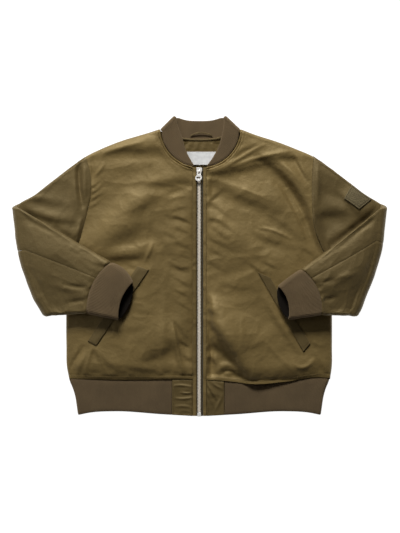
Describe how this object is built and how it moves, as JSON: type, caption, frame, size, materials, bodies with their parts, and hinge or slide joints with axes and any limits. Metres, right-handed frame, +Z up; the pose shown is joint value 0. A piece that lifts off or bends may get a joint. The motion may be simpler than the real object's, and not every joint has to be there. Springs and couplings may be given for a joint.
{
  "type": "bomber jacket",
  "caption": "Child's zip-up bomber jacket with rib collar, cuffs and hem, laid flat on its back with both sleeves folded over the front.",
  "frame": {"origin": "on the surface the jacket lies on, below the middle of its back panel, at the mount underside", "axes": "+X towards the wearer's left, +Y from the hem to the collar, +Z up from the surface"},
  "size_m": [0.5975, 0.4804, 0.0368],
  "materials": {
    "nylon": "olive nylon satin, soft sheen",
    "rib": "olive-brown rib knit, matt",
    "lining": "olive satin lining",
    "zip_tape": "dark woven tape",
    "zip_metal": "pale metal",
    "label": "plain white woven label",
    "loop_fastener": "short loop pile, matt"
  },
  "bodies": {
    "jacket": {"back": "nylon", "front_right": "nylon", "front_left": "nylon", "sleeve_right_upper": "nylon", "sleeve_right_under": "nylon", "sleeve_left_upper": "nylon", "sleeve_left_under": "nylon", "hem_tab_right": "nylon", "hem_tab_left": "nylon", "placket_right": "nylon", "placket_left": "nylon", "pocket_welt_right": "nylon", "pocket_welt_left": "nylon", "cuff_right": "rib", "cuff_left": "rib", "hem_rib": "rib", "collar": "rib", "back_neck_facing": "lining", "neck_tape": "lining", "hanger_loop": "lining", "zip_tape_right": "zip_tape", "zip_tape_left": "zip_tape", "zip_chain": "zip_metal", "zip_box": "zip_metal", "zip_slider": "zip_metal", "label": "label", "sleeve_patch": "loop_fastener"},
    "pull": {"zip_pull": "zip_metal"}
  },
  "joints": [
    {"name": "pull_hinge", "type": "hinge", "parent": "jacket", "child": "pull", "pos_m": [-0.0005, 0.151, 0.0112], "axis": [-1, 0, 0], "range_deg": [0, 155]}
  ]
}
